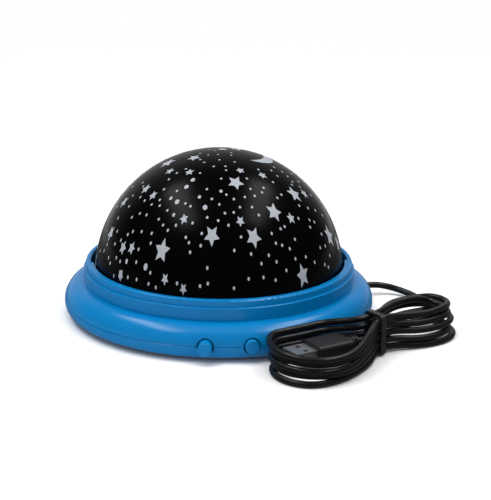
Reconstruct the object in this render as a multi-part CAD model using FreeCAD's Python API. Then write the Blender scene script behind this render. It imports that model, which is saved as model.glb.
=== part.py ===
import FreeCAD, Part
import math
import os

# Star night light projector: a round base on a rubber ring, a printed dome that turns
# in the base's rim, two radial push buttons in front, and a lead with a USB plug.
# Millimetres. +Z is up, the dome's axis is the Z axis, z = 0 is the table, and the
# front, midway between the two buttons, faces -Y.

Vec = FreeCAD.Vector
UP = Vec(0, 0, 1)

# Base: outline. Its radii grow outwards from the dome's, by the widths given here.
shoulder_w = 9.9       # crease to the widest radius, at the seam of cover and housing
seam_z = 8.3           # height of that seam
foot_gap = 1.0         # the cover's underside above the table
foot_roll = 5.7        # width of the rounded lower edge, outside the flat underside
crease_z = 17.8        # where the torus-like shoulder meets the collar
collar_h = 6.7         # crease to ledge
collar_lean = 0.3      # the collar's foot is this much narrower than its top
ledge_w = 1.2
rim_h = 3.5            # ledge to rim top
rim_round = 0.9
edge_round = 0.45
wall = 2.0             # housing and cover walls
floor_t = 2.0
seam_groove = 0.3      # chamfer on both edges of the seam
rim_wall = 2.4
lip_t = 1.6            # thickness of the inner lip
lip_drop = 0.35        # the lip's band lies this much lower than the rim top
lip_break = 30.0       # the lip is broken at both sides: width of each break, in degrees
lip_break_at = 87.0    # and where each break starts, in degrees from the front

# Dome
dome_r = 62.6          # outer radius of the sphere and its skirt
dome_rise = 7.5        # the sphere's centre above the turntable's track
dome_wall = 2.0
dome_gap = 0.7         # gap between the dome and the lip
lug_reach = 1.7        # bayonet lugs stand out this far, under the lip
lug_h = 1.4
lug_drop = 0.7         # lug top below the lip's underside
lug_width = 20.0       # degrees
well_gap = 0.5         # lug to the rim's inner wall

# Chassis (a hat-shaped deck) and turntable
journal_in = 1.4       # the turntable's bearing wall, inside the gear's pitch circle
turn_gap = 0.3         # radial running gap there
hat_h = 6.0            # the deck's top above the turntable's track
deck_t = 1.8
deck_wall = 2.0
deck_clear = 0.6       # the track's underside above the switches
track_t = 1.6
track_in = 0.2         # the track's edge, inside the dome's radius
track_gap = 0.15       # turntable above its track
flange_t = 1.5         # turntable flange under the dome's skirt
skirt_gap = 0.1        # turntable wall inside the dome's skirt
turn_wall_top = 24.3
gear_h = 4.0

# Gears
tooth_module = 0.8
gear_room = 12.2       # pitch circle of the inner teeth, inside the dome's radius
pinion_teeth = 18
pressure_angle = 20.0
backlash = 0.16
ring_tip = 0.75        # addenda and dedenda in modules
pinion_tip = 0.9
pinion_flank = (-0.4, 0.0, 0.45)   # points on a tooth's flank, between root and tip
tooth_root = 1.25
tooth_over = 0.15      # the ring's tooth spaces are cut this far past its tips
pinion_lift = 0.3      # pinion above the deck

# Gear motor, hung under the deck; the pinion's axis lies on the -X side
motor_r = 10.0
motor_h = 9.0
motor_round = 1.0
gearbox_h = 5.0
shaft_offset = 6.5
shaft_r = 1.5
shaft_fit = 0.05
shaft_in = 4.0         # length of shaft inside the gearbox
shaft_proud = 0.6      # and above the pinion
gearbox_boss_r = 3.0
gearbox_boss_h = 1.2
ear_reach = 14.0
ear_r = 3.2
ear_t = 1.0
hole_gap = 0.3

# Screws
self_tap_r = 1.2       # housing and deck screws
self_tap_head_r = 2.6
self_tap_head_h = 1.5
self_tap_len = 8.6
self_tap_spare = 1.0   # depth of the pilot hole beyond the tip
cross_l = 3.0          # cross recess
cross_w = 0.8
cross_depth = 0.9
small_r = 0.95         # motor, lamp and board screws
small_head_r = 1.9
small_head_h = 1.3
small_len = 2.8
small_spare = 0.2      # depth of the pilot hole beyond the tip
pilot_gap = 0.05
head_gap = 0.3
boss_r = 3.2
boss_z = 5.0           # height where bosses meet the cover's posts
housing_boss_out = 0.4 # beyond the crease
housing_boss_angles = (30, 150, 210, 330)
deck_boss_out = 6.0    # beyond the turntable's bearing wall
deck_boss_angles = (45, 135, 225, 315)

# Lamp
lamp_foot_r = 20.0
lamp_foot_t = 1.6
lamp_r_low = 15.0
lamp_r_high = 13.0
lamp_h = 7.0
lamp_wall = 1.5
lamp_screw_at = 17.6
lamp_screw_angles = (60, 180, 300)
led_board_t = 1.2
led_r = 2.5
led_flange_r = 2.9
led_flange_h = 1.0
led_body_h = 6.1
led_circle = 7.5
led_angles = (("white", 45), ("red", 135), ("green", 225), ("blue", 315))

# Buttons and latching switches
button_angle = 8.2     # each button's angle from the front
button_r = 3.45
button_hole_gap = 0.65
button_proud = 4.8     # face beyond the widest radius when standing out
button_travel = 3.2
button_edge = 0.7
button_flange_r = 4.6
button_flange_t = 1.2
button_flange_in = 4.7 # its front, inside the widest radius
stem_r = 3.2
stem_len = 5.3
plunger_w = 3.0
plunger_fit = 0.05
plunger_grip = 2.5
plunger_len = 9.0
switch_w = 8.0
switch_l = 9.0
switch_h = 7.0
switch_in = 14.5       # its front, inside the widest radius
switch_slot_gap = 0.15
switch_wall = 1.2      # behind the plunger's well

# Control board
board_x = 40.0
board_y = 22.0
board_t = 1.2
board_in = 21.8        # its middle, inside the widest radius
board_lift = 0.6       # pads under it
board_screw_x = 17.3
board_screw_out = 0.5  # in front of the board's middle
chip_x = 7.0
chip_y = 4.4
chip_z = 1.6
chip_back = 6.6        # behind the board's middle
chip_edge = 0.3

# Rubber ring under the cover
ring_foot_edge = 8.1   # its outer edge, inside the flat underside
ring_foot_w = 4.7
ring_foot_seat = 0.5

# Cord
cord_r = 1.65
cord_angle = 105.9     # where it leaves the base, in degrees from the front
cord_z = 5.6
grommet_r = 2.65
grommet_inner = 4.6    # its inner end, inside the widest radius
grommet_proud = 0.9    # its outer end, beyond the widest radius
grommet_taper = 0.35
exit_run = 3.0         # straight run out of the bushing, in cord radii
join_run = 2.0         # straight run at the hank's start, in cord radii
ahead_run = 5.0        # and from there back to the free stretch's last bend
bend_share = 0.45      # a bend takes this share of the shorter run beside it

# Free stretch of the cord, from the grommet to the hank: distance beyond the widest
# radius, angle from the front and height of the points chosen along its way
lead_points = (
    (13.06, 106.07, 4.6),
    (21.42, 102.67, 2.8),
    (27.48, 96.53, cord_r),
    (30.62, 88.94, cord_r),
)

# Cord inside the base, from the grommet to the board: distance inside the widest radius
# and angle from the front
inner_points = (
    (19.9, 93.9),
    (22.2, 75.5),
    (18.6, 57.4),
    (14.8, 37.0),
)
inner_run = 7.0        # straight run inside the bushing
inner_end_gap = 0.3    # its end, beside the board
inner_end_run = 4.5    # straight run there
inner_end_back = 2.2   # behind the board's middle
inner_end_low = 0.6    # its underside, below the board's top

# Hank: five loops drawn in at a tied waist, on its own axes u (along) and v (to the back)
hank_beyond = 18.67    # its middle, beyond the base's widest radius
hank_angle = 47.26     # and from the front
hank_turn = 32.1
hank_loops = 5
hank_layer = 3.75      # rise from loop to loop
waist_v = 3.8          # near and far strands at the waist, either side of the middle
waist_lift = 1.2       # the waist lies on the tie
left_end_u = -60.0
left_end_v = -4.5
left_near_u = -43.0
left_near_v = -24.0
left_back_u = -44.0    # the far side runs past the plug and the base, almost straight
left_back_v = 14.2
left_far_u = -27.0
left_far_v = 12.6
left_far_step = 1.9    # the upper loops lean over the base's shoulder
leaning_from = 2
right_end_u = 55.0
right_end_v = 9.0
right_near_u = 36.0
right_near_v = -7.5
right_far_u = 38.0
right_far_v = 24.0
loop_shrink = 0.7      # each loop is this much shorter than the one below

# Last half turn, inside the others, through the waist's middle to the plug
inner_far_u = 31.0
inner_far_v = 12.0
inner_end_u = 46.0
inner_end_v = 6.5
inner_near_u = 29.0
inner_near_v = -1.5
inner_end_drop = 3.5
inner_near_drop = 5.8

# Twist tie round the waist
tie_width = 3.0
tie_t = 0.9
tie_gap = 0.3
tie_corner = 1.65

# Plug
plug_turn = 177.3      # direction in which the metal shell points, from the hank's axis
plug_u = -12.0         # the cord's end, on the hank's axes
plug_v = 0.1
plug_z = 8.4
plug_run = 2.2         # straight run into the plug, in cord radii
plug_body_w = 16.0
plug_body_h = 8.0
plug_body_l = 19.5
plug_round = 2.2
relief_l = 6.5
relief_w = 6.4
relief_in = 0.5        # length hidden in the body
relief_grooves = 3
relief_first = 1.0     # first groove from the cord's end
relief_pitch = 1.9
relief_groove = 0.8
relief_rib = 0.6
shell_w = 12.0
shell_h = 4.5
shell_l = 12.0
shell_t = 0.3
window_y = 3.2         # two windows, either side of the middle
window_from = 4.2      # from the overmoulding
window_l = 2.2
window_w = 2.4
tongue_t = 1.9
tongue_w = 11.1
tongue_short = 0.3     # the tongue ends inside the shell's mouth
contact_w = 1.0
contact_t = 0.15
contact_short = 3.0    # the contacts are this much shorter than the shell
contact_places = (-3.5, -1.0, 1.0, 3.5)

# Wires inside, from the control board's back edge to the lamp and to the motor
wire_r = 0.6
wire_on_board = 1.0    # their ends lie this far onto the board
wire_run = 6.2         # straight run past its edge
wire_hole_r = 2.4      # hole for them in the deck
lamp_wire_x = (5.6, 6.9, 8.2)
lamp_wire_up_x = (-1.04, 0.0, 1.04)
lamp_wire_narrow = 0.6 # they draw together to this share halfway
lamp_wire_z = 6.5      # their height there
lamp_wire_turn_y = -6.0
lamp_wire_turn_z = 9.5
lamp_wire_back = 0.1   # their upper ends, behind the axis
motor_wire_x = (-14.0, -12.2)
motor_wire_z = 6.2     # height halfway
motor_wire_mid_in = 3.0
motor_wire_near_in = 5.0
motor_wire_near_y = -10.0
motor_wire_near_z = 8.0
motor_wire_end_z = 8.4
motor_wire_end_run = (6.2, 7.1)
motor_wire_end_gap = 0.1
motor_wire_run_y = 1.5 # either side of the motor's middle
motor_wire_end_y = 1.2

# Construction
overshoot = 1.0        # cuts reach past the surface they open
sink = 0.05            # a boss is let into the wall it joins
near_zero = 1e-6
edge_pick = 0.01       # tolerance for picking edges
arc_depth = 1 - math.sqrt(0.5)   # a quarter arc's middle from its corner, in radii

# Values worked out from these
inside_floor = foot_gap + floor_t
board_z = inside_floor + board_lift
switch_z = board_z + board_t
track_top = switch_z + switch_h + deck_clear + track_t
deck_top = track_top + hat_h
dome_z = track_top + dome_rise
screw_seat = foot_gap + head_gap + self_tap_head_h
pilot_top = screw_seat + self_tap_len + self_tap_spare
well_r = dome_r + lug_reach + well_gap
rim_r = well_r + rim_wall
collar_r = rim_r + ledge_w
crease_r = collar_r - collar_lean
base_r = crease_r + shoulder_w
foot_r = base_r - foot_roll
ledge_z = crease_z + collar_h
rim_z = ledge_z + rim_h
lip_r = dome_r + dome_gap
lip_z = rim_z - lip_drop
lip_under = lip_z - lip_t
deck_under = deck_top - deck_t
track_r = dome_r - track_in
ring_teeth = 2 * round((dome_r - gear_room) / tooth_module)
turn_z = track_top + track_gap
flange_top = turn_z + flange_t
ring_pitch_r = tooth_module * ring_teeth / 2
journal_r = ring_pitch_r - journal_in
bore_r = journal_r + turn_gap
pinion_pitch_r = tooth_module * pinion_teeth / 2
pinion_x = -(ring_pitch_r - pinion_pitch_r)
motor_x = pinion_x + shaft_offset
pinion_z = deck_top + pinion_lift
plunger_z = seam_z
lamp_top = deck_top + lamp_h
board_top = lamp_top + led_board_t
ring_groove_z = foot_gap + ring_foot_seat
ring_foot_out = foot_r - ring_foot_edge
ring_foot_in = ring_foot_out - ring_foot_w
housing_boss_at = crease_r + housing_boss_out
deck_boss_at = journal_r + deck_boss_out
button_flange_at = base_r - button_flange_in
switch_front = base_r - switch_in
board_mid = base_r - board_in
board_screw_y = board_mid + board_screw_out
board_back = board_mid - board_y / 2
chip_at = board_mid - chip_back
grommet_in = base_r - grommet_inner
grommet_out = base_r + grommet_proud


def at(radius, angle, z):
    """A point at an angle from the front, counted towards +X."""
    a = math.radians(angle)
    return Vec(radius * math.sin(a), -radius * math.cos(a), z)


def outward(angle):
    return at(1, angle, 0)


def cylinder(radius, z0, z1, centre=Vec(0, 0, 0)):
    return Part.makeCylinder(radius, z1 - z0, Vec(centre.x, centre.y, z0), UP)


def tube(r_in, r_out, z0, z1):
    return cylinder(r_out, z0, z1).cut(cylinder(r_in, z0 - overshoot, z1 + overshoot))


def rod(start, end, radius):
    return Part.makeCylinder(radius, (end - start).Length, start, end - start)


def turned(start, *moves):
    """A solid of revolution: each move is an end (r, z), or a middle and an end of an arc."""
    edges = []
    here = start
    for move in moves + (start,):
        if isinstance(move[0], tuple):
            middle, end = move
            arc = Part.Arc(Vec(here[0], 0, here[1]), Vec(middle[0], 0, middle[1]), Vec(end[0], 0, end[1]))
            edges.append(arc.toShape())
        else:
            end = move
            if math.dist(end, here) < near_zero:
                continue
            edges.append(Part.LineSegment(Vec(here[0], 0, here[1]), Vec(end[0], 0, end[1])).toShape())
        here = end
    return Part.Face(Part.Wire(edges)).revolve(Vec(0, 0, 0), UP, 360)


def quarter(centre, r_size, z_size, sign=1):
    """Middle point of a quarter arc about a centre, outwards in r and up or down in z."""
    k = math.sqrt(0.5)
    return (centre[0] + r_size * k, centre[1] + sign * z_size * k)


def rounded(r, z, size, sign=1):
    """Middle point of the small arc that takes off an upper corner, on its outer or inner side."""
    return (r - sign * size * arc_depth, z - size * arc_depth)


def sector(r_in, r_out, z0, z1, angle, width):
    """Part of a ring, centred on an angle from the front."""
    ring = Part.makeCylinder(r_out, z1 - z0, Vec(0, 0, z0), UP, width)
    ring = ring.cut(cylinder(r_in, z0 - overshoot, z1 + overshoot))
    ring.rotate(Vec(0, 0, 0), UP, angle - 90 - width / 2)
    return ring


def joined(shapes):
    whole = shapes[0]
    for shape in shapes[1:]:
        whole = whole.fuse(shape)
    return whole.removeSplitter()


def radial_box(near, far, width, z0, z1, angle):
    """A box whose length runs outwards at an angle from the front."""
    box = Part.makeBox(width, far - near, z1 - z0, Vec(-width / 2, -far, z0))
    box.rotate(Vec(0, 0, 0), UP, angle)
    return box


def button_holes():
    holes = []
    for angle in (-button_angle, button_angle):
        start = at(button_flange_at, angle, seam_z)
        end = at(base_r + button_proud, angle, seam_z)
        holes.append(rod(start, end, button_r + button_hole_gap))
    return holes


def base_housing():
    """Blue upper shell: shoulder, collar, ledge, rim and the broken inner lip."""
    shoulder = crease_r, seam_z
    ceiling = crease_z - wall
    inner_r = crease_r - wall
    shell = turned(
        (base_r - seam_groove, seam_z),
        (base_r, seam_z + seam_groove),
        (quarter(shoulder, base_r - crease_r, crease_z - seam_z), (crease_r, crease_z)),
        (collar_r, ledge_z - edge_round),
        (rounded(collar_r, ledge_z, edge_round), (collar_r - edge_round, ledge_z)),
        (rim_r, ledge_z),
        (rim_r, rim_z - rim_round),
        (rounded(rim_r, rim_z, rim_round), (rim_r - rim_round, rim_z)),
        (well_r + edge_round, rim_z),
        (well_r + edge_round, lip_z),
        (lip_r + edge_round, lip_z),
        (rounded(lip_r, lip_z, edge_round, -1), (lip_r, lip_z - edge_round)),
        (lip_r, lip_under),
        (well_r, lip_under),
        (well_r, ledge_z - wall),
        (inner_r, ledge_z - wall - (inner_r - well_r)),
        (inner_r, ceiling),
        (crease_r, ceiling),
        (quarter(shoulder, base_r - wall - crease_r, ceiling - seam_z), (base_r - wall, seam_z)),
    )
    breaks = []
    for side in (-1, 1):
        middle = side * (lip_break_at + lip_break / 2)
        low, high = lip_under - overshoot, rim_z + overshoot
        breaks.append(sector(lip_r - overshoot, well_r, low, high, middle, lip_break))
    shell = shell.cut(breaks)
    bosses = []
    pilots = []
    for angle in housing_boss_angles:
        foot = at(housing_boss_at, angle, 0)
        bosses.append(cylinder(boss_r, boss_z, ceiling + sink, foot))
        pilots.append(cylinder(self_tap_r + pilot_gap, boss_z - overshoot, pilot_top, foot))
    return joined([shell] + bosses).cut(pilots).cut(button_holes())


def bottom_cover():
    """Blue lower shell with its flat underside, posts for the screws and the cord's hole."""
    edge = foot_r, seam_z
    depth = seam_z - foot_gap
    shell = turned(
        (0, foot_gap),
        (foot_r, foot_gap),
        (quarter(edge, base_r - foot_r, depth, -1), (base_r, seam_z - seam_groove)),
        (base_r - seam_groove, seam_z),
        (base_r - wall, seam_z),
        (quarter(edge, base_r - wall - foot_r, depth - floor_t, -1), (foot_r, inside_floor)),
        (0, inside_floor),
    )
    solids = [shell]
    cuts = []
    for radius, angles in ((housing_boss_at, housing_boss_angles), (deck_boss_at, deck_boss_angles)):
        for angle in angles:
            foot = at(radius, angle, 0)
            solids.append(cylinder(boss_r, inside_floor, boss_z, foot))
            cuts.append(cylinder(self_tap_r + head_gap, 0, boss_z + overshoot, foot))
            cuts.append(cylinder(self_tap_head_r + head_gap, 0, screw_seat, foot))
    for side in (-1, 1):
        foot = Vec(side * board_screw_x, -board_screw_y, 0)
        solids.append(cylinder(small_head_r, inside_floor, board_z, foot))
        low = switch_z - small_len - small_spare
        cuts.append(cylinder(small_r + pilot_gap, low, board_z + overshoot, foot))
    cuts.append(tube(ring_foot_in, ring_foot_out, foot_gap - overshoot, ring_groove_z))
    start = at(grommet_in - overshoot, cord_angle, cord_z)
    end = at(grommet_out + overshoot, cord_angle, cord_z)
    cuts.append(rod(start, end, grommet_r))
    return joined(solids).cut(cuts + button_holes())


def rubber_ring():
    return tube(ring_foot_in, ring_foot_out, 0, ring_groove_z)


def deck():
    """Fixed white chassis, shaped like a hat: a track for the turntable round a raised platform."""
    inner = journal_r - deck_wall
    hat = turned(
        (0, deck_under),
        (inner, deck_under),
        (inner, track_top - track_t),
        (track_r, track_top - track_t),
        (track_r, track_top),
        (journal_r, track_top),
        (journal_r, deck_top),
        (0, deck_top),
    )
    bosses = []
    low = deck_under - overshoot
    high = deck_top + overshoot
    cuts = [
        cylinder(gearbox_boss_r + hole_gap, low, high, Vec(pinion_x, 0, 0)),
        cylinder(wire_hole_r, low, high),
    ]
    for angle in deck_boss_angles:
        foot = at(deck_boss_at, angle, 0)
        bosses.append(cylinder(boss_r, boss_z, track_top - track_t, foot))
        cuts.append(cylinder(self_tap_r + pilot_gap, boss_z - overshoot, pilot_top, foot))
    for place in motor_screw_places() + lamp_screw_places():
        cuts.append(cylinder(small_r + pilot_gap, low, high, place))
    return joined([hat] + bosses).cut(cuts)


def motor_screw_places():
    return [Vec(motor_x, side * ear_reach, 0) for side in (-1, 1)]


def lamp_screw_places():
    return [at(lamp_screw_at, angle, 0) for angle in lamp_screw_angles]


def involute(angle):
    return math.tan(angle) - angle


def tooth_outline(teeth, half_angle, radii):
    """Closed outline of straight pieces: each tooth's flanks follow the involute."""
    pitch_r = tooth_module * teeth / 2
    base = pitch_r * math.cos(math.radians(pressure_angle))
    middle = involute(math.radians(pressure_angle))
    points = []
    for tooth in range(teeth):
        centre = 2 * math.pi * tooth / teeth
        flank = []
        for radius in radii:
            lean = involute(math.acos(min(1, base / radius)))
            flank.append((radius, half_angle + middle - lean))
        for radius, half in flank:
            points.append(Vec(radius * math.cos(centre - half), radius * math.sin(centre - half), 0))
        for radius, half in reversed(flank):
            points.append(Vec(radius * math.cos(centre + half), radius * math.sin(centre + half), 0))
    points.append(points[0])
    return Part.Wire(Part.makePolygon(points))


def turntable():
    """White ring that carries the dome: bore on the hat, flange below, inner teeth on top."""
    wall_r = dome_r - dome_wall - skirt_gap
    body = turned(
        (bore_r, turn_z),
        (dome_r, turn_z),
        (dome_r, flange_top),
        (wall_r, flange_top),
        (wall_r, turn_wall_top),
        (ring_pitch_r - tooth_module * ring_tip, turn_wall_top),
        (ring_pitch_r - tooth_module * ring_tip, turn_wall_top - gear_h),
        (bore_r, turn_wall_top - gear_h),
    )
    half_space = math.pi / (2 * ring_teeth) + backlash / (4 * ring_pitch_r)
    radii = [ring_pitch_r + tooth_module * k for k in (-ring_tip - tooth_over, 0, tooth_root)]
    spaces = Part.Face(tooth_outline(ring_teeth, half_space, radii)).extrude(UP * (gear_h + overshoot))
    spaces.translate(Vec(0, 0, turn_wall_top - gear_h))
    return body.cut(spaces)


def pinion():
    half_tooth = math.pi / (2 * pinion_teeth) - backlash / (4 * pinion_pitch_r)
    steps = (-tooth_root,) + pinion_flank + (pinion_tip,)
    radii = [pinion_pitch_r + tooth_module * k for k in steps]
    gear = Part.Face(tooth_outline(pinion_teeth, half_tooth, radii)).extrude(UP * (gear_h - pinion_lift))
    gear.translate(Vec(pinion_x, 0, pinion_z))
    return gear.cut(cylinder(shaft_r, 0, rim_z, Vec(pinion_x, 0, 0)))


def motor_shaft():
    foot = Vec(pinion_x, 0, 0)
    return cylinder(shaft_r, deck_under - shaft_in, pinion_z + gear_h - pinion_lift + shaft_proud, foot)


def gearbox():
    """Flat reduction box with two ears, screwed up against the deck."""
    body = cylinder(motor_r, deck_under - gearbox_h, deck_under, Vec(motor_x, 0, 0))
    ears = []
    holes = []
    for place in motor_screw_places():
        ears.append(cylinder(ear_r, deck_under - ear_t, deck_under, place))
        holes.append(cylinder(small_r + pilot_gap, 0, deck_top, place))
    corner = Vec(motor_x - ear_r, -ear_reach, deck_under - ear_t)
    web = Part.makeBox(2 * ear_r, 2 * ear_reach, ear_t, corner)
    axis = Vec(pinion_x, 0, 0)
    boss = cylinder(gearbox_boss_r, deck_under, deck_under + gearbox_boss_h, axis)
    bore = cylinder(shaft_r + shaft_fit, deck_under - shaft_in - shaft_fit, deck_top, axis)
    return joined([body, web, boss] + ears).cut(holes + [bore])


def motor_can():
    low = deck_under - gearbox_h
    can = cylinder(motor_r, low - motor_h, low, Vec(motor_x, 0, 0))
    end = low - motor_h + edge_pick
    return can.makeFillet(motor_round, [e for e in can.Edges if e.BoundBox.ZMax < end])


def small_screw(place, head_z, sign):
    """Pan head at head_z, shank upwards for +1 or downwards for -1."""
    if sign > 0:
        head = cylinder(small_head_r, head_z - small_head_h, head_z, place)
        shank = cylinder(small_r, head_z, head_z + small_len, place)
    else:
        head = cylinder(small_head_r, head_z, head_z + small_head_h, place)
        shank = cylinder(small_r, head_z - small_len, head_z, place)
    return head.fuse(shank).removeSplitter()


def motor_screws():
    screws = [small_screw(place, deck_under - ear_t, 1) for place in motor_screw_places()]
    return Part.makeCompound(screws)


def lamp_screws():
    screws = [small_screw(place, deck_top + lamp_foot_t, -1) for place in lamp_screw_places()]
    return Part.makeCompound(screws)


def board_screws():
    screws = []
    for side in (-1, 1):
        screws.append(small_screw(Vec(side * board_screw_x, -board_screw_y, 0), switch_z, -1))
    return Part.makeCompound(screws)


def self_tapping_screws(radius, angles):
    screws = []
    low = foot_gap + head_gap
    for angle in angles:
        foot = at(radius, angle, 0)
        head = cylinder(self_tap_head_r, low, screw_seat, foot)
        shank = cylinder(self_tap_r, screw_seat, screw_seat + self_tap_len, foot)
        cross = []
        for x, y in ((cross_l, cross_w), (cross_w, cross_l)):
            cross.append(Part.makeBox(x, y, cross_depth, Vec(foot.x - x / 2, foot.y - y / 2, low)))
        screws.append(head.fuse(shank).removeSplitter().cut(cross))
    return Part.makeCompound(screws)


def dome_shell():
    """Printed dome: a hemisphere over a short skirt, with two bayonet lugs under the lip."""
    k = math.sqrt(0.5)
    inner = dome_r - dome_wall
    shell = turned(
        (dome_r, flange_top),
        (dome_r, dome_z),
        ((dome_r * k, dome_z + dome_r * k), (0, dome_z + dome_r)),
        (0, dome_z + inner),
        ((inner * k, dome_z + inner * k), (inner, dome_z)),
        (inner, flange_top),
    )
    lug_top = lip_under - lug_drop
    lugs = []
    for angle in (0, 180):
        root = dome_r - dome_wall / 2
        lugs.append(sector(root, well_r - well_gap, lug_top - lug_h, lug_top, angle, lug_width))
    return joined([shell] + lugs)


def lamp_pedestal():
    body = turned(
        (lamp_r_low - lamp_wall, deck_top),
        (lamp_foot_r, deck_top),
        (lamp_foot_r, deck_top + lamp_foot_t),
        (lamp_r_low, deck_top + lamp_foot_t),
        (lamp_r_high, lamp_top),
        (lamp_r_high - lamp_wall, lamp_top),
    )
    holes = []
    for place in lamp_screw_places():
        high = deck_top + lamp_foot_t + overshoot
        holes.append(cylinder(small_r + pilot_gap, deck_top - overshoot, high, place))
    return body.cut(holes)


def led_board():
    return cylinder(lamp_r_high, lamp_top, board_top)


def led(place):
    flange = cylinder(led_flange_r, board_top, board_top + led_flange_h, place)
    body = cylinder(led_r, board_top + led_flange_h, board_top + led_body_h, place)
    lens = Part.makeSphere(led_r, Vec(place.x, place.y, board_top + led_body_h))
    return joined([flange, body, lens])


def control_board():
    low = -board_mid - board_y / 2
    board = Part.makeBox(board_x, board_y, board_t, Vec(-board_x / 2, low, board_z))
    holes = []
    for side in (-1, 1):
        foot = Vec(side * board_screw_x, -board_screw_y, 0)
        holes.append(cylinder(small_r + pilot_gap, board_z - overshoot, switch_z + overshoot, foot))
    return board.cut(holes)


def controller_chip():
    body = Part.makeBox(chip_x, chip_y, chip_z, Vec(-chip_x / 2, -chip_at - chip_y / 2, switch_z))
    top = switch_z + chip_z - edge_pick
    return body.makeChamfer(chip_edge, [e for e in body.Edges if e.BoundBox.ZMin > top])


def switch_body(angle):
    """Latching push switch: a box with a square well for its plunger."""
    back = switch_front - switch_l
    box = radial_box(back, switch_front, switch_w, switch_z, switch_z + switch_h, angle)
    half = plunger_w / 2 + switch_slot_gap
    far = switch_front + overshoot
    well = radial_box(back + switch_wall, far, 2 * half, plunger_z - half, plunger_z + half, angle)
    return box.cut(well)


def plunger_tip(pressed):
    return button_flange_at - button_flange_t - stem_len + plunger_grip - pressed


def switch_plunger(angle, pressed):
    tip = plunger_tip(pressed)
    half = plunger_w / 2
    return radial_box(tip - plunger_len, tip, plunger_w, plunger_z - half, plunger_z + half, angle)


def button(angle, pressed):
    """Round cap with a rounded face, a retaining flange and a socket for the plunger."""
    face = base_r + button_proud - pressed
    flange = button_flange_at - pressed
    cap = rod(at(flange - button_flange_t, angle, seam_z), at(face, angle, seam_z), button_r)
    face_point = at(face, angle, seam_z)
    rim = [e for e in cap.Edges if abs(e.Length - 2 * math.pi * button_r) < edge_pick]
    rim = [e for e in rim if (e.CenterOfMass - face_point).Length < edge_pick]
    cap = cap.makeFillet(button_edge, rim)
    ring = rod(at(flange - button_flange_t, angle, seam_z), at(flange, angle, seam_z), button_flange_r)
    stem_end = flange - button_flange_t - stem_len
    stem = rod(at(stem_end, angle, seam_z), at(flange, angle, seam_z), stem_r)
    half = plunger_w / 2 + plunger_fit
    socket_end = plunger_tip(pressed)
    start = stem_end - overshoot
    socket = radial_box(start, socket_end, 2 * half, plunger_z - half, plunger_z + half, angle)
    return joined([cap, ring, stem]).cut(socket)


def grommet():
    """Moulded rubber bushing round the cord where it passes the cover's wall."""
    start = at(grommet_in, cord_angle, cord_z)
    end = at(grommet_out, cord_angle, cord_z)
    body = rod(start, end, grommet_r)
    rim = [e for e in body.Edges if (e.CenterOfMass - end).Length < edge_pick and len(e.Vertexes) == 1]
    return body.makeChamfer(grommet_taper, rim)


def along(points, radius, name):
    """A round tube of straight runs joined by tangent arcs."""
    edges = []
    radii = []
    here = points[0]
    for i in range(1, len(points) - 1):
        back = points[i - 1] - points[i]
        ahead = points[i + 1] - points[i]
        turn = math.pi - back.getAngle(ahead)
        reach = bend_share * min(back.Length, ahead.Length)
        radii.append(reach / math.tan(turn / 2))
        start = points[i] + back.normalize() * reach
        end = points[i] + ahead.normalize() * reach
        middle = (start + end) * 0.5
        bulge = (points[i] - middle).normalize() * ((end - start).Length / 2 * math.tan(turn / 4))
        edges.append(Part.LineSegment(here, start).toShape())
        edges.append(Part.Arc(start, middle + bulge, end).toShape())
        here = end
    edges.append(Part.LineSegment(here, points[-1]).toShape())
    path = Part.Wire(edges)
    section = Part.Wire(Part.Circle(points[0], points[1] - points[0], radius).toShape())
    solid = path.makePipeShell([section], True, False)
    expected = math.pi * radius ** 2 * path.Length
    print(name, "length", round(path.Length, 1), "radii", [round(r, 1) for r in radii],
          "volume ratio", round(solid.Volume / expected, 4))
    return solid


def hank_axis(turn):
    a = math.radians(hank_turn + turn)
    return Vec(math.cos(a), math.sin(a), 0)


def hank_point(u, v, z):
    return at(base_r + hank_beyond, hank_angle, z) + hank_axis(0) * u + hank_axis(90) * v


def plug_neck():
    return hank_point(plug_u, plug_v, plug_z)


def hank_stations():
    """Points and directions along the hank, loop by loop, from the free stretch to the plug."""
    back = hank_axis(180)
    ahead = hank_axis(0)
    away = hank_axis(90)
    stations = []
    for loop in range(hank_loops):
        z = cord_r + hank_layer * loop
        less = loop_shrink * loop
        lean = left_far_step * max(0, loop - leaning_from)
        stations.append((hank_point(right_end_u - less, right_end_v, z), -away))
        stations.append((hank_point(right_near_u - less, right_near_v, z), back))
        stations.append((hank_point(0, -waist_v, z + waist_lift), back))
        stations.append((hank_point(left_near_u + less, left_near_v + less, z), back))
        stations.append((hank_point(left_end_u, left_end_v, z), away))
        stations.append((hank_point(left_back_u, left_back_v + lean, z), ahead))
        stations.append((hank_point(left_far_u, left_far_v + lean, z), ahead))
        stations.append((hank_point(0, waist_v, z + waist_lift), ahead))
        if loop < hank_loops - 1:
            far = hank_point(right_far_u - less, right_far_v - less, z + hank_layer / 2)
            stations.append((far, ahead))
    top = cord_r + hank_layer * (hank_loops - 1) + waist_lift
    stations.append((hank_point(inner_far_u, inner_far_v, top), ahead))
    stations.append((hank_point(inner_end_u, inner_end_v, top - inner_end_drop), -away))
    stations.append((hank_point(inner_near_u, inner_near_v, top - inner_near_drop), back))
    stations.append((hank_point(0, 0, plug_z), back))
    axis = plug_axis()
    stations.append((plug_neck() - axis * (plug_run * cord_r), axis))
    return stations


def plug_axis():
    return hank_axis(plug_turn)


def half_biarc(start, corner, end):
    """An arc that starts and ends along the two equal legs to a corner."""
    chord = end - start
    leg = (corner - start).Length
    if leg - chord.Length / 2 < near_zero:
        return Part.LineSegment(start, end).toShape()
    turn = 2 * math.acos(chord.Length / 2 / leg)
    middle = (start + end) * 0.5
    bulge = (corner - middle).normalize() * (chord.Length / 2 * math.tan(turn / 4))
    return Part.Arc(start, middle + bulge, end).toShape()


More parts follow.
